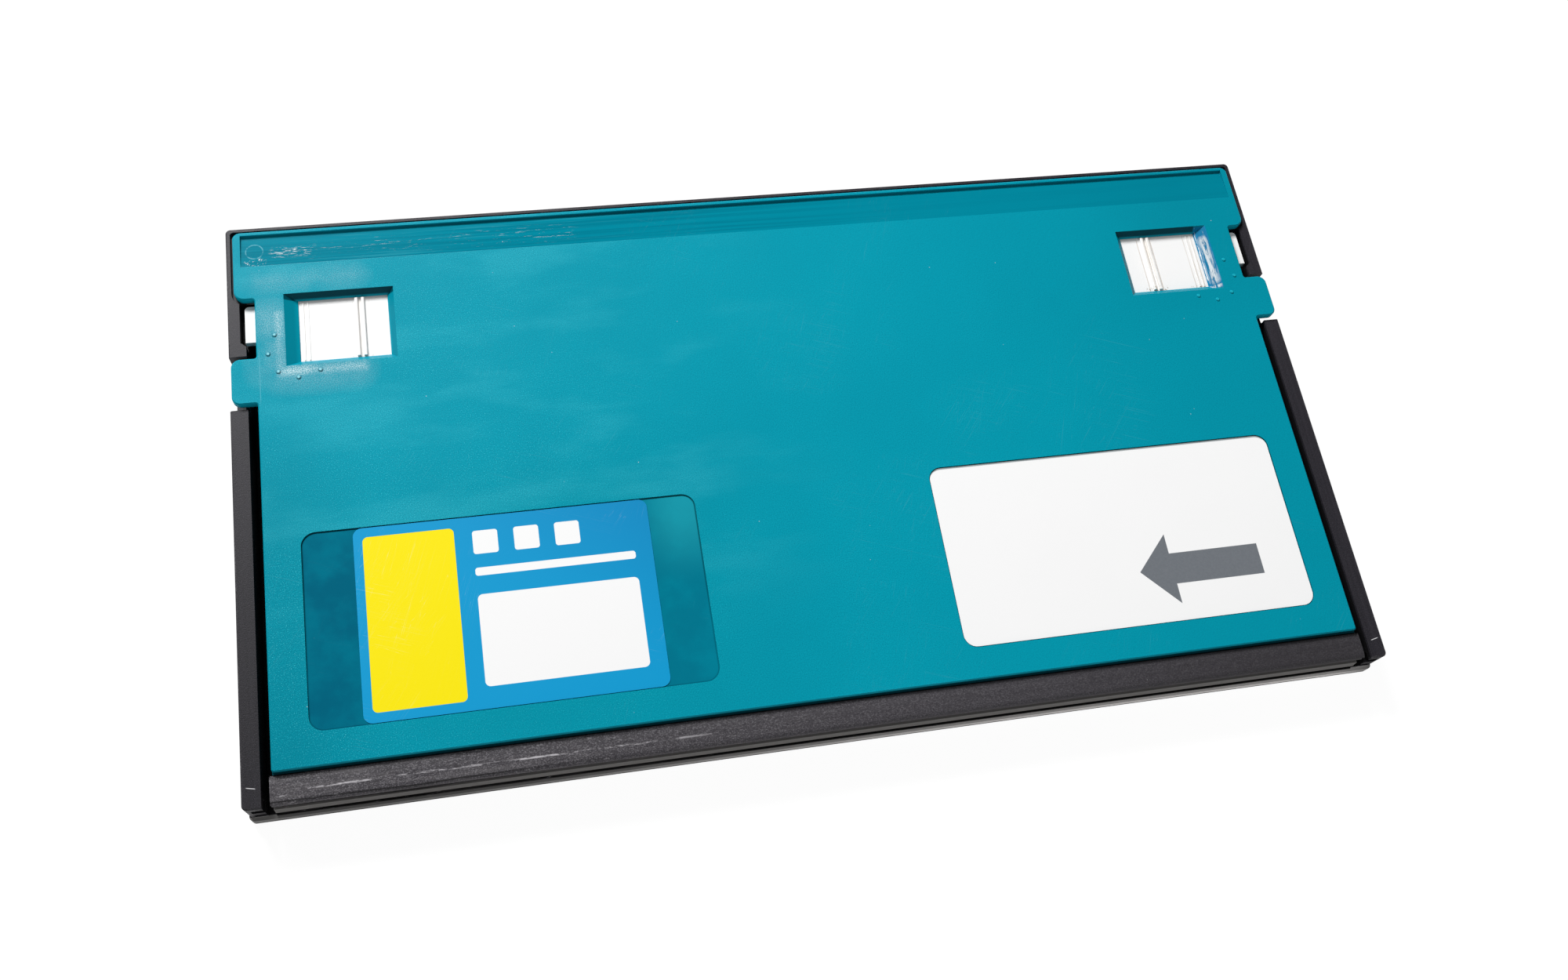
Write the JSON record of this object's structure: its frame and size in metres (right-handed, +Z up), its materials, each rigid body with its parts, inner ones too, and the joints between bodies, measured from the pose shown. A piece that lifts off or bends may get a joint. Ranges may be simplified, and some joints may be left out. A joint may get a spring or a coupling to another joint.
{
  "type": "x-ray film cassette",
  "caption": "Flat hinged cassette for panoramic film: black frame, teal rear cover on a full-length hinge, and two sprung slide latches.",
  "frame": {"origin": "centre of the overall box at the underside, on the surface it lies on, with the cover closed", "axes": "+Z up, out of the rear cover; +X along the long side, to the right as the hinge faces the viewer; +Y from the hinge towards the latches"},
  "size_m": [0.328, 0.177, 0.0153],
  "materials": {
    "black_plastic": "worn satin black",
    "spine_plastic": "worn satin dark grey",
    "teal_plastic": "fine-grained teal",
    "white_plastic": "smooth white",
    "front_skin": "smooth dark laminate",
    "screen_sheet": "smooth white screen",
    "foam": "soft black foam",
    "felt": "black pile",
    "black_sheet": "matt black",
    "guide_plastic": "plain grey",
    "screw_steel": "zinc plated",
    "spring_steel": "bright wire",
    "label_print": "printed film",
    "label_white": "white film"
  },
  "bodies": {
    "base": {"base_frame": "black_plastic", "front_panel": "front_skin", "front_screen": "screen_sheet", "light_seal_far": "felt", "light_seal_near": "felt", "light_seal_left": "felt", "light_seal_right": "felt", "hinge_base_leaf": "spine_plastic", "base_leaf_screws": "screw_steel"},
    "cover": {"rear_cover": "teal_plastic", "hinge_cover_leaf": "spine_plastic", "cover_leaf_screws": "screw_steel", "inner_plate": "black_sheet", "inner_plate_screws": "screw_steel", "foam_pad": "foam", "rear_screen": "screen_sheet", "latch_guide_left": "guide_plastic", "latch_guide_right": "guide_plastic", "latch_guide_screws": "screw_steel", "latch_spring_left": "spring_steel", "latch_spring_right": "spring_steel", "info_label": "label_print", "arrow_label": "label_white"},
    "latch_left": {"latch_slider_left": "white_plastic"},
    "latch_right": {"latch_slider_right": "white_plastic"}
  },
  "joints": [
    {"name": "cover_hinge", "type": "hinge", "parent": "base", "child": "cover", "pos_m": [0, -0.0856, 0.01094], "axis": [1, 0, 0], "range_deg": [0, 112]},
    {"name": "latch_left_slide", "type": "slide", "parent": "cover", "child": "latch_left", "axis": [1, 0, 0], "range_m": [0, 0.006], "stiffness_N_per_m": 150, "springref_m": -0.004, "deforming": ["latch_spring_left"]},
    {"name": "latch_right_slide", "type": "slide", "parent": "cover", "child": "latch_right", "axis": [-1, 0, 0], "range_m": [0, 0.006], "stiffness_N_per_m": 150, "springref_m": -0.004, "deforming": ["latch_spring_right"]}
  ]
}
